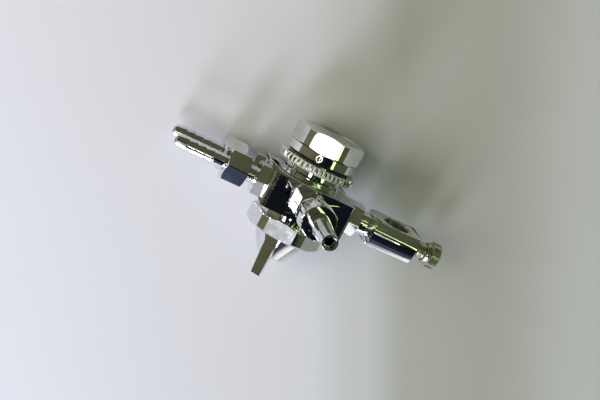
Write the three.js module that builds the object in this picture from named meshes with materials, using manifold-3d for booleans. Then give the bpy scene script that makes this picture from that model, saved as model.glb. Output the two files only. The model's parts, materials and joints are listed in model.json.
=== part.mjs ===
// Air-operated needle valve (automatic spray gun), lying on its back.
// Every piece is first drawn in the valve's own frame, in millimetres:
//   +Z runs along the needle axis towards the adjusting cap, +X towards the holder,
//   -Y is the front face with the fluid inlet. The last lines lay the whole valve on its back.
import * as THREE from 'three';
import { mergeVertices } from 'three/addons/utils/BufferGeometryUtils.js';
import Module from 'manifold-3d';

const wasm = await Module();
wasm.setup();

// ---------------------------------------------------------------- driving dimensions (mm)
const GAP = 0.3;                 // clearance between pieces that touch or screw together
const ROUND = 36;                 // segments of a large turned surface
const FINE = 18;                  // segments of a small turned surface

const BLOCK = { half: 19.25, front: -22.3, back: 16.7, bottom: -8.3, top: 7.7, chamfer: 1.4 };
const NECK = { r: 13.2, top: 24, stepR: 14.3, stepTop: 9.4 };
const SPOUT = { r: 14.6, bottom: -16 };
const CYLINDER = { r: 10.5, floor: 6 };
const CHAMBER = { r: 5, top: -1 };
const PACKING_BORE = { r: 4, floor: 0.5 };
const PORT = { r: 4.4, depth: 8, spacing: 20.4 };
const HOLDER_Y = (BLOCK.front + BLOCK.back) / 2;

const LOCK_RING = { bottom: 12.6, top: 16.2, r: 18.2, toothDepth: 0.55, teeth: 44 };
const CAP = { bottom: 17.6, collarTop: 21.5, top: 30.3, collarR: 15.8, r: 16.45, flats: 30.3, turn: -15.6 };
const NUT = { top: -12.8, bottom: -20.5, r: 18.2, flats: 33.8, turn: -17.7, lip: 1.9 };
const CONE = { r: 13.1, tipR: 7.4, tip: -31.8, flangeR: 14.5 };
const HORN = { turn: -25.5, tip: -40.3, wide: 5.6, narrow: 4.2 };
const NEEDLE = { r: 1.25, tip: -31.2, top: 18 };
const PISTON = { r: 10.2, bottom: 9, top: 15 };
const SEAT = { bottom: 21.7, top: 27.2, stopBottom: 21.2 };

const FITTING = { flats: 14, hexEnd: 5.9, bore: 2 };
const BARB = { stemR: 3.1, crestR: 3.45, valleyR: 2.75, ridges: 4, pitch: 4, tip: 43.85 };
const HOLDER = { flats: 14.2, hexEnd: 8.6, neckR: 5.2, headStart: 13.6, headEnd: 38.5, headR: 10 };
const ROD_HOLE = { r: 6.3, at: 26.45, chamfer: 0.6 };
const HOLDER_TILT = 5.1;         // degrees that the holder's flats lean towards the front
const FLAT_HALF = 6.05;          // half the thickness across the holder's two flats
const SCREW = { r: 3.9, tip: 33.2, end: 49.7 };
const KNOB = { r: 6.1, collarR: 4.9, collar: 44.4, start: 46.15, end: 51.35, teeth: 26 };

// ---------------------------------------------------------------- finishes
const finish = (color, roughness, metalness) =>
  new THREE.MeshStandardMaterial({ color, roughness, metalness });
const chrome = () => finish(0xd9dbde, 0.08, 1);
const frosted = () => finish(0xc9ccd1, 0.3, 1);
const nickel = () => finish(0xb9b3a4, 0.28, 1);
const steel = () => finish(0xaeb2b6, 0.3, 1);
const brass = () => finish(0xc2a35a, 0.3, 1);
const rubber = () => finish(0x141414, 0.75, 0);
const ptfe = () => finish(0xeeeeea, 0.5, 0);

// ---------------------------------------------------------------- solid helpers
function positionsOnly(geometry) {
  const bare = new THREE.BufferGeometry();
  bare.setAttribute('position', geometry.getAttribute('position').clone());
  if (geometry.index) bare.setIndex(geometry.index.clone());
  return mergeVertices(bare, 1e-5);
}

function signedVolume(geometry) {
  const p = geometry.getAttribute('position');
  const index = geometry.index;
  const [a, b, c] = [new THREE.Vector3(), new THREE.Vector3(), new THREE.Vector3()];
  let sum = 0;
  for (let i = 0; i < index.count; i += 3) {
    a.fromBufferAttribute(p, index.getX(i));
    b.fromBufferAttribute(p, index.getX(i + 1));
    c.fromBufferAttribute(p, index.getX(i + 2));
    sum += a.dot(b.clone().cross(c));
  }
  return sum / 6;
}

function toSolid(geometry) {
  const bare = positionsOnly(geometry);
  const triangles = [];
  const index = bare.index.array;
  for (let i = 0; i < index.length; i += 3) {
    const [a, b, c] = [index[i], index[i + 1], index[i + 2]];
    if (a !== b && b !== c && c !== a) triangles.push(a, b, c);
  }
  bare.setIndex(triangles);
  if (signedVolume(bare) < 0) {
    for (let i = 0; i < triangles.length; i += 3) {
      [triangles[i], triangles[i + 1]] = [triangles[i + 1], triangles[i]];
    }
  }
  return new wasm.Manifold(new wasm.Mesh({
    numProp: 3,
    vertProperties: new Float32Array(bare.getAttribute('position').array),
    triVerts: new Uint32Array(triangles),
  }));
}

function toGeometry(solid) {
  const mesh = solid.getMesh();
  const geometry = new THREE.BufferGeometry();
  geometry.setAttribute('position', new THREE.BufferAttribute(new Float32Array(mesh.vertProperties), 3));
  geometry.setIndex([...mesh.triVerts]);
  geometry.computeVertexNormals();
  return geometry;
}

const join = (...solids) => solids.reduce((a, b) => a.add(b));
const cut = (base, ...tools) => tools.reduce((a, b) => a.subtract(b), base);

// A turned solid: points are [radius, z] from one end to the other.
function turned(points, segments = ROUND) {
  const ends = [[0, points[0][1]], ...points, [0, points.at(-1)[1]]];
  const profile = ends.map(([r, z]) => new THREE.Vector2(r, z));
  return toSolid(new THREE.LatheGeometry(profile, segments).rotateX(Math.PI / 2));
}

const rod = (r, low, high, segments = ROUND) => turned([[r, low], [r, high]], segments);

// A ring section that closes on itself: points are [radius, z] around the section.
function turnedRing(points, segments = ROUND) {
  const profile = [...points, points[0]].map(([r, z]) => new THREE.Vector2(r, z));
  return toSolid(new THREE.LatheGeometry(profile, segments).rotateX(Math.PI / 2));
}

function hexPrism(acrossFlats, low, high, turnDegrees = 0) {
  const corner = acrossFlats / 2 / Math.cos(Math.PI / 6);
  const prism = new THREE.CylinderGeometry(corner, corner, high - low, 6);
  prism.rotateX(Math.PI / 2).rotateZ(THREE.MathUtils.degToRad(turnDegrees));
  return toSolid(prism.translate(0, 0, (low + high) / 2));
}

function boxSolid(low, high) {
  const size = high.map((value, i) => value - low[i]);
  const centre = high.map((value, i) => (value + low[i]) / 2);
  return toSolid(new THREE.BoxGeometry(...size).translate(...centre));
}

// An outline in the XY plane raised from low to high along Z.
function raised(outline, low, high) {
  const shape = new THREE.Shape(outline.map(([x, y]) => new THREE.Vector2(x, y)));
  const geometry = new THREE.ExtrudeGeometry(shape, { depth: high - low, bevelEnabled: false });
  return toSolid(geometry.translate(0, 0, low));
}

// A straight round hole between two points.
function drilled(from, to, r, segments = 20) {
  const start = new THREE.Vector3(...from);
  const direction = new THREE.Vector3(...to).sub(start);
  const geometry = new THREE.CylinderGeometry(r, r, direction.length(), segments);
  geometry.translate(0, direction.length() / 2, 0);
  const turn = new THREE.Quaternion().setFromUnitVectors(
    new THREE.Vector3(0, 1, 0), direction.clone().normalize());
  return toSolid(geometry.applyQuaternion(turn).translate(...from));
}

// Hexagon flats cut on a round bar with both ends chamfered, as on a turned nut.
function hexOnRound({ flats, r, low, high, chamfer, turn = 0, endR = r - chamfer }) {
  const bar = turned([[endR, low], [r, low + chamfer * 0.6], [r, high - chamfer * 0.6], [endR, high]]);
  return bar.intersect(hexPrism(flats, low - 1, high + 1, turn));
}

// A straight-knurled disc outline with trapezoid teeth.
function toothedOutline(r, depth, teeth) {
  const outline = [];
  for (let tooth = 0; tooth < teeth; tooth += 1) {
    const start = (tooth / teeth) * 2 * Math.PI;
    const step = (2 * Math.PI) / teeth;
    const places = [[0, r - depth], [0.3, r], [0.62, r], [0.92, r - depth]];
    for (const [share, radius] of places) {
      const angle = start + share * step;
      outline.push([radius * Math.cos(angle), radius * Math.sin(angle)]);
    }
  }
  return outline;
}

const valve = new THREE.Group();

function place(name, solid, material, parent = valve) {
  const mesh = new THREE.Mesh(toGeometry(solid), material);
  mesh.name = name;
  parent.add(mesh);
  return mesh;
}

// ---------------------------------------------------------------- body block
function bodyBlock() {
  const { half, front, back, bottom, top, chamfer } = BLOCK;
  const outline = [
    [-half + chamfer, front], [half - chamfer, front], [half, front + chamfer], [half, back - chamfer],
    [half - chamfer, back], [-half + chamfer, back], [-half, back - chamfer], [-half, front + chamfer],
  ];
  const outside = join(
    raised(outline, bottom, top),
    turned([[SPOUT.r, bottom + 1], [SPOUT.r, SPOUT.bottom + 0.6], [SPOUT.r - 0.6, SPOUT.bottom]]),
    turned([[NECK.stepR, top - 1], [NECK.stepR, NECK.stepTop], [NECK.r, NECK.stepTop + 0.8],
      [NECK.r, NECK.top - 0.6], [NECK.r - 0.6, NECK.top]]),
  );
  const ports = [-1, 1].map((side) => {
    const y = (side * PORT.spacing) / 2;
    return drilled([-half - 1, y, 0], [-half + PORT.depth, y, 0], PORT.r, FINE);
  });
  const airY = PORT.spacing / 2 - 2.4;
  const airX = -5.2;
  return cut(
    outside,
    rod(CYLINDER.r, CYLINDER.floor, NECK.top + 1),
    rod(PACKING_BORE.r, PACKING_BORE.floor, CYLINDER.floor + 1, FINE),
    rod(NEEDLE.r + 0.35, CHAMBER.top - 1, PACKING_BORE.floor + 1, 16),
    rod(CHAMBER.r, SPOUT.bottom - 1, CHAMBER.top, FINE),
    ...ports,
    drilled([0, front - 1, 0], [0, front + PORT.depth, 0], 6, FINE),
    drilled([0, front + PORT.depth - 1, -2.7], [0, -4, -2.7], 1.2),
    drilled([half + 1, HOLDER_Y, 0], [half - PORT.depth, HOLDER_Y, 0], PORT.r, FINE),
    drilled([-half + PORT.depth - 1, -airY, 0], [airX, -airY, 0], 1.1),
    drilled([airX, -airY, -0.8], [airX, -airY, CYLINDER.floor + 1], 1.1),
    drilled([-half + PORT.depth - 1, airY, 0], [airX, airY, 0], 1.1),
    drilled([airX, airY, 0.8], [airX, airY, SPOUT.bottom - 1], 1.1),
  );
}
place('body_block', bodyBlock(), chrome());

// ---------------------------------------------------------------- needle side
function fluidNozzle() {
  const flangeTop = SPOUT.bottom - GAP;
  const outside = turned([
    [CHAMBER.r - 0.4, -7], [CHAMBER.r - 0.4, flangeTop], [7.2, flangeTop], [7.2, flangeTop - 2.3],
    [4.2, flangeTop - 2.3], [4.2, -23], [1.5, -29], [1.5, CONE.tip - 0.4],
  ], FINE);
  const bore = turned([[2.6, -6], [2.6, -26], [0.6, -30.6], [0.6, -33.5]], 16);
  return cut(outside, bore);
}

function needle() {
  const r = NEEDLE.r;
  return turned([
    [0.25, NEEDLE.tip], [r, -27.5], [r, PISTON.bottom - 0.9], [2.6, PISTON.bottom - 0.9],
    [2.6, PISTON.bottom - GAP], [r, PISTON.bottom - GAP], [r, NEEDLE.top - 0.4], [r - 0.4, NEEDLE.top],
  ], 16);
}

function packingGland() {
  const thread = rod(PACKING_BORE.r - GAP, 3.5, CYLINDER.floor + GAP + 0.2, FINE);
  const head = hexPrism(9, CYLINDER.floor + GAP, CYLINDER.floor + GAP + 1.4);
  return cut(join(thread, head), rod(NEEDLE.r + 0.35, 3, 9, 16));
}

function piston() {
  const { r, bottom, top } = PISTON;
  const grooveLow = bottom + 2;
  const grooveR = 8.2;
  const outside = turned([
    [r - 0.5, bottom], [r, bottom + 0.5], [r, grooveLow], [grooveR, grooveLow],
    [grooveR, grooveLow + 2], [r, grooveLow + 2], [r, top - 0.5], [r - 0.5, top],
  ]);
  return cut(outside, rod(NEEDLE.r + GAP, bottom - 1, top + 1, 16), rod(8, top - 1.2, top + 1));
}

// A round-section ring centred on the needle axis.
function sealRing(centreR, z, sectionR) {
  const section = [];
  for (let i = 0; i < 8; i += 1) {
    const angle = (i / 8) * 2 * Math.PI;
    section.push([centreR + sectionR * Math.cos(angle), z + sectionR * Math.sin(angle)]);
  }
  return turnedRing(section, 30);
}

class Helix extends THREE.Curve {
  constructor(r, low, high, turns) {
    super();
    Object.assign(this, { r, low, high, turns });
  }

  getPoint(t, target = new THREE.Vector3()) {
    const angle = t * this.turns * 2 * Math.PI;
    return target.set(this.r * Math.cos(angle), this.r * Math.sin(angle), this.low + t * (this.high - this.low));
  }
}

function pistonSpring() {
  const wireR = 0.6;
  const turns = 4;
  const section = new THREE.Shape().absarc(0, 0, wireR, 0, 2 * Math.PI);
  const path = new Helix(6.6, PISTON.top - 0.25, SEAT.bottom - wireR - 0.15, turns);
  return toSolid(new THREE.ExtrudeGeometry(section, { steps: turns * 12, curveSegments: 4, extrudePath: path }));
}

function springSeat() {
  return turned([
    [2.4, SEAT.stopBottom], [2.4, SEAT.bottom], [8.4, SEAT.bottom], [8.4, SEAT.bottom + 1.5],
    [5, SEAT.bottom + 1.5], [5, SEAT.top],
  ], FINE);
}

place('fluid_nozzle', fluidNozzle(), steel());
place('needle', needle(), steel());
place('needle_packing', turnedRing([[1.6, 0.8], [3.7, 0.8], [3.7, 3.2], [1.6, 3.2]], FINE), ptfe());
place('packing_gland', packingGland(), brass());
place('piston', piston(), brass());
place('piston_seal', sealRing(9.35, PISTON.bottom + 3, 0.85), rubber());
place('piston_nut', cut(hexPrism(5.5, PISTON.top - 1.2 + GAP, PISTON.top + 1.6),
  rod(NEEDLE.r + GAP, 10, 20, 16)), steel());
place('piston_spring', pistonSpring(), steel());
place('spring_seat', springSeat(), brass());

// ---------------------------------------------------------------- adjusting cap and lock ring
function adjustingCap() {
  const { bottom, collarTop, top, collarR, r, flats, turn } = CAP;
  const collar = turned([[collarR - 0.3, bottom], [collarR, bottom + 0.3], [collarR, collarTop + 0.5]]);
  const head = hexOnRound({ flats, r, low: collarTop, high: top, chamfer: 1.25, turn: turn + 30 });
  const facing = THREE.MathUtils.degToRad(turn - 90);
  const out = [Math.cos(facing), Math.sin(facing)];
  const holeZ = 19.5;
  const at = (distance) => [out[0] * distance, out[1] * distance, holeZ];
  return cut(
    join(collar, head),
    rod(NECK.r + GAP, bottom - 1, NECK.top + GAP),
    rod(9, NECK.top, SEAT.top + GAP),
    drilled(at(10), at(20), 1.1, 16),
    drilled(at(collarR - 0.45), at(20), 1.6, 16),
    turned([[12.4, top - 0.35], [12.4, top + 1]]),
  );
}

function lockRing() {
  const { bottom, top, r, toothDepth, teeth } = LOCK_RING;
  const knurled = raised(toothedOutline(r, toothDepth, teeth), bottom, top);
  const chamfered = turned([[r - 0.7, bottom], [r + 0.05, bottom + 0.5], [r + 0.05, top - 0.5], [r - 0.7, top]]);
  return cut(knurled.intersect(chamfered), rod(NECK.r + GAP, bottom - 1, top + 1));
}

place('lock_ring', lockRing(), chrome());
place('cap_seal', turnedRing([[13.5, 16.45], [14.8, 16.45], [14.8, 17.35], [13.5, 17.35]], 30), rubber());
place('adjusting_cap', adjustingCap(), chrome());

// ---------------------------------------------------------------- retaining nut and air cap
function retainingNut() {
  const { top, bottom, r, flats, turn, lip } = NUT;
  const outside = hexOnRound({ flats, r, low: bottom, high: top, chamfer: 1.3, turn: turn + 30 });
  return cut(outside, rod(SPOUT.r + GAP, bottom + lip, top + 1), rod(CONE.r + 0.4, bottom - 1, top));
}

function horn() {
  const side = [
    [9.2, -19.5], [12.7, -19.5], [12.9, -22.8], [12.3, -31.2], [11, HORN.tip], [8, HORN.tip], [6.6, -31], [6.4, -27],
  ];
  const face = [
    [-HORN.wide / 2, -19], [HORN.wide / 2, -19], [HORN.wide / 2, -23],
    [HORN.narrow / 2, HORN.tip - 1], [-HORN.narrow / 2, HORN.tip - 1], [-HORN.wide / 2, -23],
  ];
  // Both outlines are drawn flat and stood up, so that Z stays the valve's Z.
  const fromSide = raised(side, -6, 6).rotate([90, 0, 0]);
  const fromFace = raised(face, 0, 20).rotate([90, 0, 0]).rotate([0, 0, 90]);
  return fromSide.intersect(fromFace).rotate([0, 0, HORN.turn - 90]);
}

function airCap() {
  const flangeTop = SPOUT.bottom - GAP - 0.1;
  const slope = [];
  for (let i = 0; i <= 6; i += 1) {
    const share = i / 6;
    const bulge = 0.45 * Math.sin(Math.PI * share);
    slope.push([
      CONE.r + (CONE.tipR - CONE.r) * share + bulge * 0.9,
      NUT.bottom - 0.4 + (CONE.tip + 0.7 - NUT.bottom + 0.4) * share - bulge * 0.4,
    ]);
  }
  const outside = turned([
    [CONE.flangeR, flangeTop], [CONE.flangeR, flangeTop - 1.8], [CONE.r, flangeTop - 1.8],
    ...slope, [CONE.tipR - 0.8, CONE.tip],
  ]);
  const cavity = turned([[11, -15], [11, -19.5], [5.8, -29.6], [2.1, -29.6], [2.1, -33]], FINE);
  const facing = THREE.MathUtils.degToRad(HORN.turn - 90);
  const jetAt = (distance, z) => [Math.cos(facing) * distance, Math.sin(facing) * distance, z];
  return cut(join(outside, horn()), cavity, drilled(jetAt(5.4, -35.2), jetAt(9.8, -36.4), 0.6, 12));
}

place('retaining_nut', retainingNut(), frosted());
place('air_cap', airCap(), chrome());

// ---------------------------------------------------------------- pipe fittings
// Each fitting is drawn with its axis along local +Z, from the block's face outwards.
function adapter({ neckR, threadR, hexEnd, neckEnd }) {
  const hex = hexOnRound({ flats: FITTING.flats, r: 8, low: GAP, high: hexEnd, chamfer: 0.7, turn: 0 });
  const turnedPart = turned([[threadR, -PORT.depth + 0.6], [threadR, GAP + 0.5], [neckR, GAP + 0.5], [neckR, neckEnd]], FINE);
  return cut(join(hex, turnedPart), rod(FITTING.bore, -PORT.depth, neckEnd + 1, 16));
}

function unionNut({ low, high, boreR, lipR, lip, endR, collar = 0, turn = 0 }) {
  const hex = hexOnRound({ flats: 14.2, r: 8, low, high, chamfer: 0.9, turn, endR: 7.2 });
  const outside = [hex];
  if (collar > 0) outside.push(turned([[endR, high - collar], [endR, high - 0.3], [endR - 0.3, high]]));
  return cut(join(...outside), rod(boreR, low - 1, high - lip, FINE), rod(lipR, low, high + 1, FINE));
}

function hoseBarb() {
  const { stemR, crestR, valleyR, ridges, pitch, tip } = BARB;
  const flange = [[4.15, 13.8], [4.15, 15.8], [stemR, 15.8]];
  const first = tip - 5.6 - (ridges - 1) * pitch;
  const teeth = [[stemR, first - 0.3]];
  for (let i = 0; i < ridges; i += 1) {
    const start = first + i * pitch;
    const end = i === ridges - 1 ? tip - 0.3 : start + pitch;
    teeth.push([valleyR, start], [crestR, start + 0.3], [crestR, start + 0.7], [valleyR, end]);
  }
  return cut(turned([...flange, ...teeth, [valleyR - 0.3, tip]], FINE), rod(1.6, 12, tip + 1, 16));
}

function smoothSpigot(flangeAt, noseFrom, tip) {
  const outside = turned([
    [5.7, flangeAt], [5.7, flangeAt + 2], [4.6, flangeAt + 2], [4.6, noseFrom + 3], [3.4, tip - 0.4], [3.1, tip],
  ], FINE);
  return cut(outside, rod(2.1, flangeAt - 1, tip + 1, 16));
}

function leftFitting(prefix, y, nutTurn) {
  const group = new THREE.Group();
  group.position.set(-BLOCK.half, y, 0);
  group.rotation.y = -Math.PI / 2;
  place(`${prefix}_adapter`, adapter({
    neckR: 4.2, threadR: 4.1, hexEnd: FITTING.hexEnd, neckEnd: 13.5,
  }), chrome(), group);
  place(`${prefix}_union_nut`, unionNut({
    low: 10.3, high: 20.35, boreR: 4.5, lipR: 3.5, lip: 4.2, turn: nutTurn,
  }), chrome(), group);
  place(`${prefix}_hose_barb`, hoseBarb(), chrome(), group);
  valve.add(group);
}

function frontFitting() {
  const group = new THREE.Group();
  group.position.set(0, BLOCK.front, 0);
  group.rotation.x = Math.PI / 2;
  const nutEnd = 25;
  place('front_adapter', adapter({ neckR: 5.6, threadR: 5.6, hexEnd: 8.3, neckEnd: 17.4 }), chrome(), group);
  place('front_union_nut', unionNut({
    low: 12.2, high: nutEnd, boreR: 6, lipR: 4.9, lip: 4, endR: 7.4, collar: 2.4, turn: 12,
  }), chrome(), group);
  place('front_spigot', smoothSpigot(17.7, nutEnd, 50.8), chrome(), group);
  valve.add(group);
}

leftFitting('left_front', -PORT.spacing / 2, 6);
leftFitting('left_rear', PORT.spacing / 2, 30);
frontFitting();

// ---------------------------------------------------------------- rod holder and clamp screw
function holderStud() {
  const { flats, hexEnd, neckR, headStart, headEnd, headR } = HOLDER;
  const hex = hexOnRound({ flats, r: 8.1, low: GAP, high: hexEnd, chamfer: 0.7 });
  const stem = turned([[4.1, -PORT.depth + 0.6], [4.1, GAP + 0.5], [neckR, GAP + 0.5], [neckR, headStart + 1]], FINE);
  const bar = turned([
    [headR - 2, headStart], [headR, headStart + 1.6], [headR, headEnd - 1.3], [headR - 1.3, headEnd],
  ]);
  const slab = boxSolid([-FLAT_HALF, -headR - 1, headStart - 1], [FLAT_HALF, headR + 1, headEnd + 1]);
  const { r, at, chamfer } = ROD_HOLE;
  const hole = drilled([-8, 0, at], [8, 0, at], r, 32);
  const mouths = [-1, 1].map((side) => {
    const cone = new THREE.CylinderGeometry(r + chamfer + 1, r - 1, chamfer + 2, 32);
    cone.rotateZ(side > 0 ? -Math.PI / 2 : Math.PI / 2);
    return toSolid(cone.translate(side * (FLAT_HALF - chamfer / 2), 0, at));
  });
  return cut(join(hex, stem, bar.intersect(slab)), hole, ...mouths, rod(SCREW.r + GAP, at, headEnd + 1, 16));
}

function clampKnob() {
  const { r, collarR, collar, start, end, teeth } = KNOB;
  const knurled = raised(toothedOutline(r, 0.35, teeth), start, end);
  const rounded = turned([[r - 0.8, start], [r, start + 0.6], [r, end - 0.9], [r - 1, end]]);
  const neck = turned([[collarR - 0.3, collar], [collarR, collar + 0.3], [collarR, start + 0.5]], FINE);
  return cut(join(knurled.intersect(rounded), neck), rod(SCREW.r + GAP, collar - 1, SCREW.end + GAP, 16));
}

function holder() {
  const group = new THREE.Group();
  group.position.set(BLOCK.half, HOLDER_Y, 0);
  group.rotation.y = Math.PI / 2;
  const tilted = new THREE.Group();
  tilted.rotation.z = THREE.MathUtils.degToRad(HOLDER_TILT);
  group.add(tilted);
  place('rod_holder', holderStud(), chrome(), tilted);
  const { r, tip, end } = SCREW;
  place('clamp_screw', turned([[r - 0.8, tip], [r, tip + 0.8], [r, end]], 16), nickel(), tilted);
  place('clamp_knob', clampKnob(), nickel(), tilted);
  valve.add(group);
}
holder();

// ---------------------------------------------------------------- lay the valve on its back
// The origin is then the middle of the assembly's bounding box, at the height of its lowest point.
valve.rotation.x = -Math.PI / 2;
const assembly = new THREE.Group();
assembly.add(valve);
const bounds = new THREE.Box3().setFromObject(assembly, true);
const middle = bounds.getCenter(new THREE.Vector3());
assembly.position.set(-middle.x, -middle.y, -bounds.min.z);

export default assembly;
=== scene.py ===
import json
import math

import bmesh
import bpy
from mathutils import Matrix, Vector

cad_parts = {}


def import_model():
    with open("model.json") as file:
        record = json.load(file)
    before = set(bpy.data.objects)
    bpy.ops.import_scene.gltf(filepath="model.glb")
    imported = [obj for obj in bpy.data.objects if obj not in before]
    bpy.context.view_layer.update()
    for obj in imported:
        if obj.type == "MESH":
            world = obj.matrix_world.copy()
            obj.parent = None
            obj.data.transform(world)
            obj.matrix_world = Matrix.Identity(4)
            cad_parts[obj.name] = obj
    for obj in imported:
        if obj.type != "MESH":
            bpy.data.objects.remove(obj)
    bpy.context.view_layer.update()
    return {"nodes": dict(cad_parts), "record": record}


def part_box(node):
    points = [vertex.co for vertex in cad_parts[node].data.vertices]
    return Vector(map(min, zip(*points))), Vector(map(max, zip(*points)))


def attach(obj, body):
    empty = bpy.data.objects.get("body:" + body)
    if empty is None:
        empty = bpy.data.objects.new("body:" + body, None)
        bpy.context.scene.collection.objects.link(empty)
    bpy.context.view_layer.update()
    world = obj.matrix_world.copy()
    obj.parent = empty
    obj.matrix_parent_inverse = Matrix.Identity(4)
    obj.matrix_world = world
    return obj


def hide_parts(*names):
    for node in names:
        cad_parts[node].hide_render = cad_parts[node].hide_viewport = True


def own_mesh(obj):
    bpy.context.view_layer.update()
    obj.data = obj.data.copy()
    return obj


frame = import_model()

# Every piece is drawn in the valve's own frame, in millimetres, as the CAD is: +Z along the needle axis
# towards the adjusting cap, +X towards the rod holder, -Y out of the front face.
MM = 0.001
ROUND = 128                      # segments of a large turned surface
FINE = 64                        # segments of a small turned surface


# ---------------------------------------------------------------- places, read from the frame
def middle(node):
    low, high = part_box(node)
    return [(a + b) / 2 for a, b in zip(low, high)]


ring_middle = middle("lock_ring")
fitting_middle = middle("left_rear_adapter")
ORIGIN = Vector((ring_middle[0], fitting_middle[1], ring_middle[2]))
VALVE = Matrix.Translation(ORIGIN) @ Matrix.Rotation(math.radians(-90), 4, "X") @ Matrix.Scale(MM, 4)


def span(node):
    """Lowest and highest corner of a CAD node in the valve's own frame, in millimetres."""
    to_valve = VALVE.inverted()
    corners = [to_valve @ Vector(corner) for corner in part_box(node)]
    low = [min(a, b) for a, b in zip(*corners)]
    high = [max(a, b) for a, b in zip(*corners)]
    return low, high


def middle_y(node):
    low, high = span(node)
    return (low[1] + high[1]) / 2


block_low, block_high = span("body_block")
ring_low, ring_high = span("lock_ring")
cap_low, cap_high = span("adjusting_cap")
nut_low, nut_high = span("retaining_nut")
air_low, air_high = span("air_cap")
seal_low, seal_high = span("cap_seal")
holder_high = span("rod_holder")[1]
screw_low, screw_high = span("clamp_screw")
knob_low, knob_high = span("clamp_knob")
front_nut_low = span("front_union_nut")[0]
spigot_low = span("front_spigot")[0]

HALF = block_high[0]             # half the block's width
FRONT = block_low[1]
BACK = block_high[1]
NECK_TOP = block_high[2]
SPOUT_END = block_low[2]
HOLDER_Y = (FRONT + BACK) / 2
LEFT_Y = {side: middle_y(f"{side}_adapter") for side in ("left_front", "left_rear")}

bodies = frame["record"]["behaviour"]["bodies"]
body_of_node = {node: body for body, nodes in bodies.items() for node in nodes}

# Driving dimensions that a box doesn't show: lengths in millimetres, turns and tilts in degrees.
BLOCK_BOTTOM = -8.3
BLOCK_TOP = 7.7
CORNER = 1.4                     # chamfer on the block's upright corners
PORT_R = 4.4                     # side ports
FRONT_PORT_R = 6
PORT_DEPTH = 8
NECK_FOOT_R = 14.3
NECK_R = 13.2
SPOUT_R = 14.6
BORE_R = 10.5
BORE_FLOOR = 6
CAP_R = 16.45
CAP_FLATS = 30.3
CAP_TURN = -15.6                 # direction of one flat, in degrees from the front face
COLLAR_R = 15.8
COLLAR_TOP = 21.5
CAP_HOLE_Z = 19.5
RING_TEETH = 50
RING_TOOTH_DEPTH = 0.85
RING_CROWN = 0.9                 # how much lower the ring's edges are than its middle
NUT_R = 18.2
NUT_FLATS = 33.8
NUT_TURN = -17.7
CONE_R = 13.1
CONE_TIP_R = 7.4
CONE_TIP = -31.8
HORN_TURN = -25.5
FITTING_FLATS = 14
UNION_FLATS = 14.2
HEX_R = 8                        # the round bar that the small hexagons are cut on
SHANK_R = 4.1                    # the screwed ends that go into the block
THREAD_DEPTH = 0.45
THREAD_PITCH = 1.0
BARBS = 4
BARB_PITCH = 4
BARB_TIP = 43.85
HOLDER_TILT = 5.1
HEAD_R = 10
FLAT_HALF = 6.05
ROD_R = 6.3
ROD_AT = 26.45                   # the cross hole's distance from the block
KNOB_R = 6.1
KNOB_TEETH = 40
KNOB_TOOTH_DEPTH = 0.3
GAP = 0.3

# One tooth of a knurl, as (share of its pitch, share of its height).
TOOTH = [(0, 0), (0.22, 0.9), (0.28, 1), (0.64, 1), (0.7, 0.9), (0.92, 0)]
# Places across the lock ring's width where its crown is drawn, from edge to edge.
CROWN_STEPS = [-1, -0.85, -0.65, -0.4, 0, 0.4, 0.65, 0.85, 1]


# ---------------------------------------------------------------- mesh helpers
def new_piece(name, mesh):
    piece = bpy.data.objects.new(name, mesh)
    bpy.context.scene.collection.objects.link(piece)
    return piece


def mesh_from(vertices, faces, name="shape"):
    mesh = bpy.data.meshes.new(name)
    mesh.from_pydata(vertices, [], faces)
    tidy = bmesh.new()
    tidy.from_mesh(mesh)
    bmesh.ops.remove_doubles(tidy, verts=tidy.verts, dist=1e-5)
    bmesh.ops.dissolve_degenerate(tidy, dist=1e-6, edges=tidy.edges)
    bmesh.ops.recalc_face_normals(tidy, faces=tidy.faces)
    tidy.to_mesh(mesh)
    tidy.free()
    return mesh


def turned(points, segments=ROUND, closed=False):
    """A surface of revolution about Z. points are (radius, z), capped to the axis unless closed is set."""
    profile = list(points)
    vertices = []
    for radius, z in profile:
        for i in range(segments):
            angle = 2 * math.pi * i / segments
            vertices.append((radius * math.cos(angle), radius * math.sin(angle), z))
    faces = []
    rows = len(profile)
    for row in range(rows if closed else rows - 1):
        above = (row + 1) % rows
        for i in range(segments):
            j = (i + 1) % segments
            faces.append((row * segments + i, row * segments + j, above * segments + j, above * segments + i))
    if not closed:
        faces.append(tuple(range(segments)))
        faces.append(tuple((rows - 1) * segments + i for i in range(segments)))
    return mesh_from(vertices, faces)


def arc(centre, radius, start, end, steps=6):
    """Points of a round stretch in a profile, with angles in degrees from the radius axis."""
    points = []
    for i in range(steps + 1):
        angle = math.radians(start + (end - start) * i / steps)
        points.append((centre[0] + radius * math.cos(angle), centre[1] + radius * math.sin(angle)))
    return points


def raised(outline, low, high):
    """An XY outline raised along Z."""
    count = len(outline)
    vertices = [(x, y, low) for x, y in outline] + [(x, y, high) for x, y in outline]
    faces = [tuple(range(count)), tuple(range(count, 2 * count))]
    faces += [(i, (i + 1) % count, count + (i + 1) % count, count + i) for i in range(count)]
    return mesh_from(vertices, faces)


def hexagon(across_flats, low, high, turn=0):
    """A hexagonal prism with one flat facing turn degrees from -Y."""
    corner = across_flats / 2 / math.cos(math.pi / 6)
    outline = []
    for i in range(6):
        angle = math.radians(turn - 90 + 30 + 60 * i)
        outline.append((corner * math.cos(angle), corner * math.sin(angle)))
    return raised(outline, low, high)


def moved(mesh, matrix):
    mesh.transform(matrix)
    return mesh


def hole(start, end, radius, segments=FINE):
    """A straight cutter between two points."""
    start, end = Vector(start), Vector(end)
    direction = end - start
    turn = direction.to_track_quat("Z", "Y").to_matrix().to_4x4()
    rod = turned([(radius, 0), (radius, direction.length)], segments)
    return moved(rod, Matrix.Translation(start) @ turn)


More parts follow.
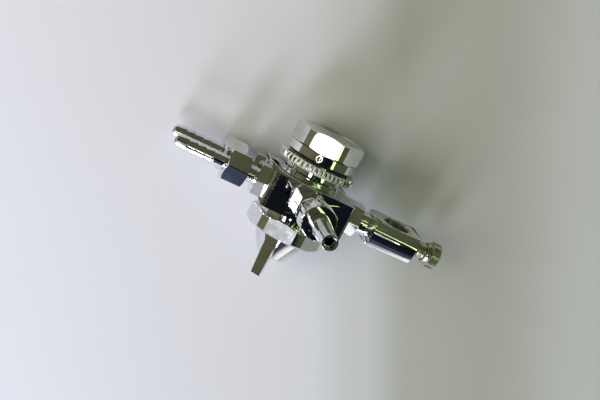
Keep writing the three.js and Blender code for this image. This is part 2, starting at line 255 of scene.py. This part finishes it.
def boolean(mesh, other, operation):
    first = new_piece("working", mesh)
    second = new_piece("cutter", other)
    step = first.modifiers.new("step", "BOOLEAN")
    step.operation = operation
    step.object = second
    step.solver = "EXACT"
    graph = bpy.context.evaluated_depsgraph_get()
    result = bpy.data.meshes.new_from_object(first.evaluated_get(graph))
    bpy.data.objects.remove(first)
    bpy.data.objects.remove(second)
    return result


def cut(mesh, *tools):
    for tool in tools:
        mesh = boolean(mesh, tool, "DIFFERENCE")
    return mesh


def join(mesh, *others):
    for other in others:
        mesh = boolean(mesh, other, "UNION")
    return mesh


def hex_on_round(flats, radius, low, high, chamfer, turn=0, end_radius=None):
    """Hexagon flats cut on a round bar with both ends chamfered, as on a turned nut."""
    end_radius = end_radius or radius - chamfer
    rise = chamfer * 0.6
    bar = turned([(end_radius, low), (radius, low + rise), (radius, high - rise), (end_radius, high)])
    return boolean(bar, hexagon(flats, low - 1, high + 1, turn), "INTERSECT")


def toothed(radius, depth, teeth, low, high):
    """A straight-knurled disc: flat-topped teeth with V grooves between them."""
    outline = []
    for tooth in range(teeth):
        for share, height in TOOTH:
            angle = 2 * math.pi * (tooth + share) / teeth
            reach = radius - depth + depth * height
            outline.append((reach * math.cos(angle), reach * math.sin(angle)))
    return raised(outline, low, high)


def thread(root, crest, low, high, pitch, segments=48):
    """A right-hand screw thread with flattened crests, run out to its root at both ends."""
    steps = 6
    heights = [0, 0, 0.55, 1, 1, 0.45]
    rows = int((high - low) / pitch * steps) + 2 * steps
    vertices = []
    for row in range(rows):
        share = heights[row % steps]
        for i in range(segments):
            angle = 2 * math.pi * i / segments
            z = low - pitch + pitch * (row / steps + i / segments)
            inside = low + 0.15 < z < high - 0.15
            radius = root + (crest - root) * share if inside else root
            vertices.append((radius * math.cos(angle), radius * math.sin(angle), min(max(z, low), high)))
    faces = []
    for row in range(rows - 1):
        for i in range(segments):
            if i + 1 < segments:
                corners = (row, i), (row, i + 1), (row + 1, i + 1), (row + 1, i)
            elif row + steps + 1 < rows:
                corners = (row, i), (row + steps, 0), (row + steps + 1, 0), (row + 1, i)
            else:
                continue
            faces.append(tuple(r * segments + c for r, c in corners))
    mesh = mesh_from(vertices, faces)
    ends = bmesh.new()
    ends.from_mesh(mesh)
    bmesh.ops.holes_fill(ends, edges=ends.edges, sides=0)
    bmesh.ops.recalc_face_normals(ends, faces=ends.faces)
    ends.to_mesh(mesh)
    ends.free()
    return mesh


# ---------------------------------------------------------------- placing and finishing
def along(position, direction):
    """The matrix that puts a fitting, drawn along its own Z, at a position in the valve's frame."""
    turns = {
        "left": Matrix.Rotation(math.radians(-90), 4, "Y"),
        "front": Matrix.Rotation(math.radians(90), 4, "X"),
        "right": Matrix.Rotation(math.radians(90), 4, "Y"),
    }
    return Matrix.Translation(position) @ turns[direction]


def finish(name, mesh, node, material, local=None, bevel=0.12, sharp=32, second=None):
    """Places a finished mesh on the frame, softens its edges and gives it its material.

    second is (material, test): the faces that pass the test, as drawn, get that other material."""
    mesh.materials.clear()
    mesh.materials.append(material)
    if second is not None:
        other, passes = second
        mesh.materials.append(other)
        for face in mesh.polygons:
            face.material_index = 1 if passes(face) else 0
    if local is not None:
        mesh.transform(local)
    mesh.transform(VALVE)
    mesh.name = name
    piece = new_piece(name, mesh)
    if bevel:
        soften = piece.modifiers.new("edges", "BEVEL")
        soften.width = bevel * MM
        soften.segments = 3
        soften.limit_method = "ANGLE"
        soften.angle_limit = math.radians(sharp)
        soften.miter_outer = "MITER_ARC"
        soften.use_clamp_overlap = True
    mesh.shade_smooth()
    weighted = piece.modifiers.new("normals", "WEIGHTED_NORMAL")
    weighted.keep_sharp = True
    weighted.weight = 90
    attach(piece, body_of_node[node])
    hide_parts(node)
    return piece


# ---------------------------------------------------------------- materials
def node_tree(name):
    material = bpy.data.materials.new(name)
    material.use_nodes = True
    nodes = material.node_tree.nodes
    shader = nodes["Principled BSDF"]
    return material, nodes, material.node_tree.links, shader


def noise(nodes, links, scale, detail, stretch=(1, 1, 1)):
    place = nodes.new("ShaderNodeTexCoord")
    mapping = nodes.new("ShaderNodeMapping")
    mapping.inputs["Scale"].default_value = [value / MM for value in stretch]
    texture = nodes.new("ShaderNodeTexNoise")
    texture.inputs["Scale"].default_value = scale
    texture.inputs["Detail"].default_value = detail
    links.new(place.outputs["Object"], mapping.inputs["Vector"])
    links.new(mapping.outputs["Vector"], texture.inputs["Vector"])
    return texture.outputs["Fac"]


def ramp(nodes, links, source, low, high):
    """Spreads a noise, whose values mostly lie between 0.35 and 0.65, from low to high."""
    spread = nodes.new("ShaderNodeMapRange")
    spread.inputs["From Min"].default_value = 0.35
    spread.inputs["From Max"].default_value = 0.65
    spread.inputs["To Min"].default_value = low
    spread.inputs["To Max"].default_value = high
    links.new(source, spread.inputs["Value"])
    return spread.outputs["Result"]


def tint(nodes, links, source, dark, light):
    colours = nodes.new("ShaderNodeMix")
    colours.data_type = "RGBA"
    colours.inputs["A"].default_value = (*dark, 1)
    colours.inputs["B"].default_value = (*light, 1)
    links.new(source, colours.inputs["Factor"])
    return colours.outputs["Result"]


def bump(nodes, links, shader, layers):
    """Adds height layers of (source, strength, depth in millimetres) one over the other."""
    previous = None
    for source, strength, depth in layers:
        layer = nodes.new("ShaderNodeBump")
        layer.inputs["Strength"].default_value = strength
        layer.inputs["Distance"].default_value = depth * MM
        links.new(source, layer.inputs["Height"])
        if previous:
            links.new(previous, layer.inputs["Normal"])
        previous = layer.outputs["Normal"]
    links.new(previous, shader.inputs["Normal"])


def polished_chrome(name, smear, stretch=(1, 1, 1)):
    """Bright plate with faint hand marks, a slight waviness and hair-fine polishing lines."""
    dark, light = (0.70, 0.71, 0.72), (0.86, 0.87, 0.88)
    material, nodes, links, shader = node_tree(name)
    shader.inputs["Metallic"].default_value = 1
    hands = noise(nodes, links, 0.11, 4)
    fine = noise(nodes, links, 2.2, 3, stretch)
    wave = noise(nodes, links, 0.16, 1)
    links.new(tint(nodes, links, ramp(nodes, links, hands, 0, 1), dark, light), shader.inputs["Base Color"])
    links.new(ramp(nodes, links, hands, 0.035, 0.035 + smear), shader.inputs["Roughness"])
    bump(nodes, links, shader, [(wave, 0.1, 0.03), (fine, 0.03, 0.004)])
    return material


def frosted_chrome(name):
    """Plate over a milled flat: short crossing scratches that spread the light."""
    material, nodes, links, shader = node_tree(name)
    shader.inputs["Metallic"].default_value = 1
    across = noise(nodes, links, 1.6, 6, (5, 1, 1))
    down = noise(nodes, links, 1.9, 6, (1, 5, 3))
    patches = noise(nodes, links, 0.3, 3)
    links.new(tint(nodes, links, ramp(nodes, links, across, 0, 1), (0.62, 0.66, 0.7), (0.86, 0.88, 0.9)),
              shader.inputs["Base Color"])
    links.new(ramp(nodes, links, patches, 0.26, 0.36), shader.inputs["Roughness"])
    bump(nodes, links, shader, [(across, 0.25, 0.015), (down, 0.25, 0.015)])
    return material


def satin_metal(name, dark, light, roughness, stretch, metallic=1):
    """Satin plate, nickel, steel or brass with turning marks. Near white and mostly non-metallic, it also
    gives the knurl's painted glints.
    """
    material, nodes, links, shader = node_tree(name)
    shader.inputs["Metallic"].default_value = metallic
    marks = noise(nodes, links, 2.4, 5, stretch)
    patches = noise(nodes, links, 0.25, 3)
    links.new(tint(nodes, links, ramp(nodes, links, patches, 0, 1), dark, light), shader.inputs["Base Color"])
    links.new(ramp(nodes, links, marks, roughness, roughness + 0.14), shader.inputs["Roughness"])
    bump(nodes, links, shader, [(marks, 0.15, 0.012)])
    return material


def soft_material(name, dark, light, roughness, grain):
    """Rubber or PTFE with a fine moulded grain."""
    material, nodes, links, shader = node_tree(name)
    fine = noise(nodes, links, grain, 4)
    patches = noise(nodes, links, 0.4, 2)
    links.new(tint(nodes, links, ramp(nodes, links, patches, 0, 1), dark, light), shader.inputs["Base Color"])
    links.new(ramp(nodes, links, fine, roughness - 0.08, roughness + 0.08), shader.inputs["Roughness"])
    bump(nodes, links, shader, [(fine, 0.3, 0.02)])
    return material


chrome_body = polished_chrome("chrome_body", smear=0.04)
chrome_turned = polished_chrome("chrome_turned", smear=0.05, stretch=(0.3, 4, 0.3))
chrome_fittings = polished_chrome("chrome_fittings", smear=0.06, stretch=(4, 0.3, 0.3))
chrome_holder = polished_chrome("chrome_holder", smear=0.07, stretch=(4, 0.3, 0.3))
chrome_frosted = frosted_chrome("chrome_frosted")
drilled_bore = satin_metal("drilled_bore", (0.62, 0.63, 0.66), (0.78, 0.79, 0.82), 0.30, (4, 0.4, 0.4))
# Painted highlight: near-white, mostly non-metallic tops for the lock ring's teeth stand in for glints of
# light on the chrome knurl.
knurl_painted_glint = satin_metal("knurl_painted_glint", (0.90, 0.90, 0.91), (0.97, 0.97, 0.97), 0.48, (0.4, 4, 0.4),
                             metallic=0.2)
nickel = satin_metal("nickel", (0.50, 0.47, 0.40), (0.68, 0.65, 0.57), 0.16, (3, 0.4, 0.4))
stainless = satin_metal("stainless", (0.55, 0.56, 0.57), (0.72, 0.73, 0.74), 0.18, (0.4, 4, 0.4))
brass = satin_metal("brass", (0.62, 0.47, 0.20), (0.80, 0.65, 0.33), 0.2, (0.4, 4, 0.4))
rubber = soft_material("rubber", (0.012, 0.012, 0.013), (0.03, 0.03, 0.032), 0.6, 3.0)
ptfe = soft_material("ptfe", (0.78, 0.78, 0.75), (0.88, 0.88, 0.86), 0.45, 2.0)


# ---------------------------------------------------------------- body block
def body_block():
    outline = [
        (-HALF + CORNER, FRONT), (HALF - CORNER, FRONT), (HALF, FRONT + CORNER), (HALF, BACK - CORNER),
        (HALF - CORNER, BACK), (-HALF + CORNER, BACK), (-HALF, BACK - CORNER), (-HALF, FRONT + CORNER),
    ]
    block = raised(outline, BLOCK_BOTTOM, BLOCK_TOP)
    neck = turned([
        (NECK_FOOT_R, BLOCK_TOP - 1), (NECK_FOOT_R, 9.4), (NECK_R, 10.2), (NECK_R, NECK_TOP - 0.6),
        (NECK_R - 0.6, NECK_TOP),
    ])
    spout = turned([(SPOUT_R - 0.6, SPOUT_END), (SPOUT_R, SPOUT_END + 0.6), (SPOUT_R, BLOCK_BOTTOM + 1)])
    ports = [hole((-HALF - 1, y, 0), (-HALF + PORT_DEPTH, y, 0), PORT_R) for y in LEFT_Y.values()]
    mesh = cut(
        join(block, neck, spout),
        turned([(BORE_R, BORE_FLOOR), (BORE_R, NECK_TOP + 1)]),
        turned([(4, 0.5), (4, BORE_FLOOR + 1)], FINE),
        turned([(1.6, -3), (1.6, 2)], FINE),
        turned([(5, SPOUT_END - 1), (5, -1)], FINE),
        *ports,
        hole((0, FRONT - 1, 0), (0, FRONT + PORT_DEPTH, 0), FRONT_PORT_R),
        hole((HALF + 1, HOLDER_Y, 0), (HALF - PORT_DEPTH, HOLDER_Y, 0), PORT_R),
    )
    return finish("block_and_necks", mesh, "body_block", chrome_body, bevel=0.22)


# ---------------------------------------------------------------- adjusting cap, seal and lock ring
def adjusting_cap():
    bottom, top = cap_low[2], cap_high[2]
    collar = turned([(COLLAR_R - 0.25, bottom), (COLLAR_R, bottom + 0.25), (COLLAR_R, COLLAR_TOP)])
    head = hex_on_round(CAP_FLATS, CAP_R, COLLAR_TOP - 0.1, top, 1.6, CAP_TURN)
    hole_side = math.radians(CAP_TURN - 90)

    def at(distance):
        return (math.cos(hole_side) * distance, math.sin(hole_side) * distance, CAP_HOLE_Z)

    mesh = cut(
        join(collar, head),
        turned([(NECK_R + GAP, bottom - 1), (NECK_R + GAP, NECK_TOP + GAP)]),
        turned([(9, NECK_TOP - 1), (9, 27.5)]),
        hole(at(10), at(20), 1.1),
        hole(at(COLLAR_R - 0.4), at(20), 1.45),
        turned([(12.2, top - 0.3), (12.6, top + 0.3)]),
    )
    return finish("stroke_cap", mesh, "adjusting_cap", chrome_turned, bevel=0.13)


def lock_ring():
    low, high = ring_low[2], ring_high[2]
    radius = ring_high[0]
    knurled = toothed(radius, RING_TOOTH_DEPTH, RING_TEETH, low, high)
    half = (high - low) / 2
    crown = [
        (radius + 0.05 - RING_CROWN * share * share, low + half + half * share) for share in CROWN_STEPS
    ]
    crowned = boolean(knurled, turned(crown), "INTERSECT")
    mesh = cut(crowned, turned([(NECK_R + GAP, low - 1), (NECK_R + GAP, high + 1)]))

    def is_tooth_top(face):
        outwards, normal = face.center.xy, face.normal.xy
        if outwards.length < radius - 1.1 or normal.length < 0.6:
            return False
        return normal.dot(outwards) > 0.97 * normal.length * outwards.length

    # The tooth tops take the painted-glint material: their white is a painted highlight.
    return finish("knurled_ring", mesh, "lock_ring", chrome_turned, bevel=0, sharp=25,
                  second=(knurl_painted_glint, is_tooth_top))


def cap_seal():
    low, high = seal_low[2], seal_high[2]
    section = arc((14.15, (low + high) / 2), (high - low) / 2, 0, 330, 11)
    return finish("seal_under_cap", turned(section, closed=True), "cap_seal", rubber, bevel=0)


# ---------------------------------------------------------------- retaining nut and air cap
def retaining_nut():
    low, high = nut_low[2], nut_high[2]
    outside = hex_on_round(NUT_FLATS, NUT_R, low, high, 1.3, NUT_TURN)
    mesh = cut(
        outside,
        turned([(SPOUT_R + GAP, low + 1.9), (SPOUT_R + GAP, high + 1)]),
        turned([(CONE_R + 0.4, low - 1), (CONE_R + 0.4, high)]),
    )

    def is_flat(face):
        return abs(face.normal.z) < 0.02 and face.area > 30

    return finish("air_cap_nut", mesh, "retaining_nut", chrome_turned, bevel=0.14,
                  second=(chrome_frosted, is_flat))


def horn():
    """Where an outline seen from the side and one seen from the front overlap, turned to its place."""
    tip = air_low[2]
    side = [
        (9.2, -19.5), (12.7, -19.5), (12.9, -22.8), (12.3, -31.2), (11, tip), (8, tip), (6.6, -31),
        (6.4, -27),
    ]
    face = [(-2.8, -19), (2.8, -19), (2.8, -23), (2.1, tip - 1), (-2.1, tip - 1), (-2.8, -23)]
    stand = Matrix.Rotation(math.radians(90), 4, "X")
    from_side = moved(raised(side, -6, 6), stand)
    from_face = moved(raised(face, 0, 20), Matrix.Rotation(math.radians(90), 4, "Z") @ stand)
    both = boolean(from_side, from_face, "INTERSECT")
    return moved(both, Matrix.Rotation(math.radians(HORN_TURN - 90), 4, "Z"))


def air_cap():
    top = air_high[2]
    slope = [(CONE_R, nut_low[2] - 0.4), (CONE_TIP_R, CONE_TIP + 0.7), (CONE_TIP_R - 0.8, CONE_TIP)]
    outside = turned([(14.5, top), (14.5, top - 1.8), (CONE_R, top - 1.8), *slope])
    cavity = turned([(11, -15), (11, -19.5), (5.8, -29.6), (2.1, -29.6), (2.1, -33)], FINE)
    horn_side = math.radians(HORN_TURN - 90)
    jet = [(math.cos(horn_side) * d, math.sin(horn_side) * d, z) for d, z in ((5.4, -35.2), (9.8, -36.4))]
    mesh = cut(join(outside, horn()), cavity, hole(*jet, 0.6, 24))
    return finish("horned_air_cap", mesh, "air_cap", chrome_turned, bevel=0.16)


# ---------------------------------------------------------------- pipe fittings
def adapter(node, local, neck_r, hex_end, neck_end):
    root_r = neck_r - THREAD_DEPTH
    hex_part = hex_on_round(FITTING_FLATS, HEX_R, GAP, hex_end, 0.7, 30)
    shank = turned([
        (SHANK_R, -7.4), (SHANK_R, GAP + 0.4), (root_r, GAP + 0.5), (root_r, hex_end + 0.6),
    ], FINE)
    screw = thread(root_r, neck_r, hex_end + 0.5, neck_end, THREAD_PITCH)
    mesh = cut(join(hex_part, shank, screw), turned([(2, -8), (2, neck_end + 1)], FINE))
    return finish(node + "_body", mesh, node, chrome_fittings, local, bevel=0.1, sharp=40)


def union_nut(node, local, low, high, bore_r, lip_r, lip, turn, collar=0, end_r=7.2):
    hex_part = hex_on_round(UNION_FLATS, HEX_R, low, high, 0.9, turn + 30, 7.2)
    if collar:
        ring = turned([(end_r, high - collar), (end_r, high - 0.2), (end_r - 0.2, high)])
        hex_part = join(hex_part, ring)
    mesh = cut(
        hex_part,
        turned([(bore_r, low - 1), (bore_r, high - lip)], FINE),
        turned([(lip_r, low), (lip_r, high + 1)], FINE),
    )
    return finish(node + "_body", mesh, node, chrome_fittings, local, bevel=0.12)


def hose_barb(node, local):
    tip = BARB_TIP
    first = tip - 5.6 - (BARBS - 1) * BARB_PITCH
    points = [(4.15, 13.8), (4.15, 15.8), (3.1, 15.8), (3.1, first - 0.35), (2.75, first)]
    for i in range(BARBS):
        start = first + BARB_PITCH * i
        end = tip - 0.4 if i == BARBS - 1 else start + BARB_PITCH
        points += [(3.36, start + 0.12), (3.45, start + 0.3), (3.43, start + 0.75), (2.75, end)]
    points += arc((2.45, tip - 0.3), 0.3, 0, 90, 4)
    mesh = cut(turned(points, FINE), turned([(1.6, 12), (1.6, tip + 1)], FINE))
    return finish(node + "_body", mesh, node, chrome_fittings, local, bevel=0.05, sharp=50)


def front_spigot(node, local):
    start, tip = 17.7, FRONT - spigot_low[1]
    points = [(5.7, start), (5.7, start + 2), (4.6, start + 2), (4.6, 28), (3.4, tip - 0.2), (3.25, tip)]
    bore = [(2.1, start - 1), (2.1, tip - 3), (2.35, tip - 3), (2.35, tip - 0.25), (2.65, tip + 0.05)]
    mesh = cut(turned(points), turned(bore, FINE))
    return finish(node + "_body", mesh, node, chrome_fittings, local, bevel=0.08)


def fittings():
    for side, turn in (("left_front", 6), ("left_rear", 30)):
        local = along((-HALF, LEFT_Y[side], 0), "left")
        adapter(f"{side}_adapter", local, 4.2, 5.9, 13.5)
        union_nut(f"{side}_union_nut", local, 10.3, 20.35, 4.5, 3.5, 4.2, turn)
        hose_barb(f"{side}_hose_barb", local)
    local = along((0, FRONT, 0), "front")
    adapter("front_adapter", local, 5.6, 8.3, 17.4)
    union_nut("front_union_nut", local, 12.2, FRONT - front_nut_low[1], 6, 4.75, 4, 12, collar=2.4, end_r=7.4)
    front_spigot("front_spigot", local)


# ---------------------------------------------------------------- rod holder and clamp screw
def holder_place():
    tilt = Matrix.Rotation(math.radians(HOLDER_TILT), 4, "Z")
    return along((HALF, HOLDER_Y, 0), "right") @ tilt


def rod_holder():
    end = holder_high[0] - HALF
    hex_part = hex_on_round(UNION_FLATS, 8.1, GAP, 8.6, 0.7, 30)
    stem = turned([(SHANK_R, -7.4), (SHANK_R, GAP + 0.5), (5.2, GAP + 0.5), (5.2, 14.6)], FINE)
    bar = turned([(HEAD_R - 2, 13.6), (HEAD_R, 15.2), (HEAD_R, end - 1.3), (HEAD_R - 1.3, end)])
    wide = HEAD_R + 1
    across = [(-FLAT_HALF, -wide), (FLAT_HALF, -wide), (FLAT_HALF, wide), (-FLAT_HALF, wide)]
    slab = raised(across, 12, end + 1)
    head = boolean(bar, slab, "INTERSECT")
    mouths = []
    for side in (-1, 1):
        cone = turned([(ROD_R - 1, -1.6), (ROD_R + 1.6, 1)], ROUND)
        outwards = Matrix.Rotation(math.radians(90 * side), 4, "Y")
        mouths.append(moved(cone, Matrix.Translation((side * FLAT_HALF, 0, ROD_AT)) @ outwards))
    mesh = cut(
        join(hex_part, stem, head),
        hole((-8, 0, ROD_AT), (8, 0, ROD_AT), ROD_R, ROUND),
        *mouths,
        turned([(4.2, ROD_AT), (4.2, end + 1)], FINE),
    )

    def is_bore(face):
        from_axis = math.hypot(face.center.y, face.center.z - ROD_AT)
        return abs(face.normal.x) < 0.1 and from_axis < ROD_R + 0.1

    return finish("rod_holder_body", mesh, "rod_holder", chrome_holder, holder_place(), bevel=0.14,
                  second=(drilled_bore, is_bore))


def clamp_screw():
    tip = screw_low[0] - HALF
    end = screw_high[0] - HALF
    screw = thread(3.35, 3.9, tip + 0.8, 44, 1.25)
    nose = turned([(2.6, tip), (3.35, tip + 0.7), (3.35, tip + 1.2)], 48)
    plain = turned([(3.35, 43.5), (3.85, 43.9), (3.85, end)], 48)
    mesh = join(screw, nose, plain)
    return finish("clamp_screw_shank", mesh, "clamp_screw", nickel, holder_place(), bevel=0)


def clamp_knob():
    end = knob_high[0] - HALF
    collar = knob_low[0] - HALF
    start = end - 5.2
    knurled = toothed(KNOB_R, KNOB_TOOTH_DEPTH, KNOB_TEETH, start, end)
    edge = turned([
        (KNOB_R - 0.9, start), (KNOB_R + 0.05, start + 0.7), (KNOB_R + 0.05, end - 1), (KNOB_R - 1.1, end),
    ])
    neck = turned([(4.6, collar), (4.9, collar + 0.3), (4.9, start + 0.6)])
    mesh = cut(
        join(boolean(knurled, edge, "INTERSECT"), neck),
        turned([(4.2, collar - 1), (4.2, end - 1.4)], FINE),
        turned([(3.6, end - 0.5), (4.0, end + 0.2)], FINE),
    )
    return finish("clamp_knob_head", mesh, "clamp_knob", nickel, holder_place(), bevel=0.08, sharp=45)


# ---------------------------------------------------------------- the spring
def piston_spring():
    """A copy of the CAD's coil, on the coil's own body and with a mesh of its own."""
    mesh = frame["nodes"]["piston_spring"].data.copy()
    mesh.materials.clear()
    mesh.materials.append(stainless)
    mesh.name = "coil_spring"
    piece = new_piece("coil_spring", mesh)
    mesh.shade_smooth()
    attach(piece, body_of_node["piston_spring"])
    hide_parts("piston_spring")
    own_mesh(piece)
    return piece


# ---------------------------------------------------------------- the other inner pieces keep their CAD shape
def dress_inner_nodes():
    finishes = {
        "fluid_nozzle": stainless, "needle": stainless, "piston_nut": stainless,
        "packing_gland": brass, "piston": brass, "spring_seat": brass,
        "piston_seal": rubber, "needle_packing": ptfe,
    }
    for name, material in finishes.items():
        node = frame["nodes"][name]
        node.data.materials.clear()
        node.data.materials.append(material)


# ---------------------------------------------------------------- floor, light and camera
def floor():
    """A pale floor with a faint grain, coloured with painted light and shade: a lavender pool of painted
    light on the left, then a painted soft shadow band, greyer, on the right, lighter again at the far right.
    """
    mesh = mesh_from([(-3, -3, 0), (3, -3, 0), (3, 3, 0), (-3, 3, 0)], [(0, 1, 2, 3)])
    piece = new_piece("floor", mesh)
    material, nodes, links, shader = node_tree("pale_floor")
    place = nodes.new("ShaderNodeTexCoord")
    across = nodes.new("ShaderNodeVectorMath")
    across.operation = "DOT_PRODUCT"
    across.inputs[1].default_value = (0.88, 0.476, 0)
    links.new(place.outputs["Object"], across.inputs[0])
    painted_light_position = nodes.new("ShaderNodeMapRange")
    painted_light_position.inputs["From Min"].default_value = -0.15
    painted_light_position.inputs["From Max"].default_value = 0.15
    links.new(across.outputs["Value"], painted_light_position.inputs["Value"])
    painted_light_ramp = nodes.new("ShaderNodeValToRGB")
    painted_light_ramp.color_ramp.interpolation = "EASE"
    # Painted light and shade: the lavender stops are a pool of painted light, the grey and olive stops a
    # painted soft shadow band.
    painted_light_stops = [
        (0.0, (0.765, 0.755, 0.885)), (0.50, (0.745, 0.735, 0.82)), (0.60, (0.64, 0.64, 0.67)),
        (0.68, (0.48, 0.485, 0.455)), (0.80, (0.475, 0.475, 0.44)), (1.0, (0.65, 0.655, 0.66)),
    ]
    ramp_stops = painted_light_ramp.color_ramp.elements
    ramp_stops[0].position, ramp_stops[1].position = painted_light_stops[0][0], painted_light_stops[-1][0]
    ramp_stops[0].color, ramp_stops[1].color = (*painted_light_stops[0][1], 1), (*painted_light_stops[-1][1], 1)
    for position, shade in painted_light_stops[1:-1]:
        ramp_stops.new(position).color = (*shade, 1)
    links.new(painted_light_position.outputs["Result"], painted_light_ramp.inputs["Fac"])
    links.new(painted_light_ramp.outputs["Color"], shader.inputs["Base Color"])
    grain = noise(nodes, links, 0.8, 3)
    links.new(ramp(nodes, links, grain, 0.5, 0.62), shader.inputs["Roughness"])
    mesh.materials.append(material)


def lamp(name, direction, distance, size, power, colour=(1, 1, 1), size_y=None, turn=0):
    """A rectangular light, aimed at the valve from a direction in the frame's own axes."""
    data = bpy.data.lights.new(name, "AREA")
    data.shape = "RECTANGLE"
    data.size = size
    data.size_y = size_y or size
    data.energy = power
    data.color = colour
    light = bpy.data.objects.new(name, data)
    bpy.context.scene.collection.objects.link(light)
    away = Vector(direction).normalized()
    basis = away.to_track_quat("Z", "Y").to_matrix().to_4x4()
    roll = Matrix.Rotation(math.radians(turn), 4, "Z")
    light.matrix_world = Matrix.Translation(ORIGIN + away * distance) @ basis @ roll
    return light


def lights():
    lamp("window", (-0.10, -0.82, 0.53), 1.2, 0.30, 9.6, (0.92, 0.95, 1.10), size_y=0.85)
    lamp("key_softbox", (-0.29, -0.175, 0.94), 1.0, 0.17, 0.3)
    lamp("tube", (0.388, 0.027, 0.921), 1.41, 0.13, 1.0, (0.66, 1.0, 0.36), size_y=0.95, turn=-39.8)
    side = lamp("side_window", (-1.0, -0.12, 0.9), 0.8, 0.6, 4.2, (1.0, 0.99, 0.84))
    side.visible_glossy = False


def facing(nodes, links, direction, inner, outer):
    """1 inside an inner angle around a direction of the sky, fading to 0 at the outer angle."""
    place = nodes.new("ShaderNodeTexCoord")
    dot = nodes.new("ShaderNodeVectorMath")
    dot.operation = "DOT_PRODUCT"
    dot.inputs[1].default_value = Vector(direction).normalized()
    links.new(place.outputs["Generated"], dot.inputs[0])
    spread = nodes.new("ShaderNodeMapRange")
    spread.interpolation_type = "SMOOTHSTEP"
    spread.inputs["From Min"].default_value = math.cos(math.radians(outer))
    spread.inputs["From Max"].default_value = math.cos(math.radians(inner))
    links.new(dot.outputs["Value"], spread.inputs["Value"])
    return spread.outputs["Result"]


def world():
    """The room around the valve: olive walls, a dark middle overhead and a pale low side in front."""
    scene_world = bpy.data.worlds.new("studio")
    bpy.context.scene.world = scene_world
    scene_world.use_nodes = True
    nodes = scene_world.node_tree.nodes
    links = scene_world.node_tree.links
    background = nodes["Background"]
    colour = None
    layers = [
        ((0.0, 0.9, 0.4), 20, 100, (0.085, 0.09, 0.048)),
        ((-1.0, -0.1, 0.25), 10, 60, (0.16, 0.15, 0.085)),
        ((1.0, -0.2, 0.3), 10, 60, (0.075, 0.088, 0.045)),
        ((0.45, -0.9, -0.15), 20, 36, (1.1, 1.1, 1.15)),
        ((0.30, -0.75, 0.66), 10, 19, (0.055, 0.065, 0.11)),
        ((0.22, -0.35, 0.9), 12, 34, (0.006, 0.007, 0.011)),
    ]
    base = (0.05, 0.053, 0.035, 1)
    for direction, inner, outer, shade in layers:
        mix = nodes.new("ShaderNodeMix")
        mix.data_type = "RGBA"
        mix.inputs["B"].default_value = (*shade, 1)
        if colour is None:
            mix.inputs["A"].default_value = base
        else:
            links.new(colour, mix.inputs["A"])
        links.new(facing(nodes, links, direction, inner, outer), mix.inputs["Factor"])
        colour = mix.outputs["Result"]
    links.new(colour, background.inputs["Color"])
    background.inputs["Strength"].default_value = 1.0


def camera():
    """Looks down on the front face from a little to the left, rolled clockwise."""
    azimuth, elevation, lean, roll = 14.79, 10.09, -0.77, 28.4
    distance = 492.0
    focal_share = 1.8225             # focal length over the picture's width
    offset = (-0.63, 3.0)            # where the needle axis stands from the picture's middle, in mm
    az, el = math.radians(azimuth), math.radians(elevation)
    into = Vector((math.sin(az) * math.cos(el), math.cos(az) * math.cos(el), -math.sin(el)))
    right = Vector((math.cos(az), -math.sin(az), 0))
    up = right.cross(into)
    turn = math.radians(lean)
    right, up = right * math.cos(turn) + up * math.sin(turn), up * math.cos(turn) - right * math.sin(turn)
    place = -right * offset[0] - up * offset[1] - into * distance
    turn = math.radians(roll)
    right, up = right * math.cos(turn) + up * math.sin(turn), up * math.cos(turn) - right * math.sin(turn)
    basis = Matrix((right, up, -into)).transposed().to_4x4()
    data = bpy.data.cameras.new("camera")
    data.sensor_width = 36
    data.lens = 36 * focal_share
    data.clip_start = 0.01
    data.clip_end = 20
    view = bpy.data.objects.new("camera", data)
    bpy.context.scene.collection.objects.link(view)
    turned_valve = VALVE.to_3x3().normalized().to_4x4()
    view.matrix_world = Matrix.Translation(VALVE @ place) @ turned_valve @ basis
    bpy.context.scene.camera = view


camera()
body_block()
adjusting_cap()
lock_ring()
cap_seal()
retaining_nut()
air_cap()
fittings()
rod_holder()
clamp_screw()
clamp_knob()
piston_spring()
dress_inner_nodes()
floor()
lights()
world()
bpy.context.scene.view_settings.view_transform = "Standard"
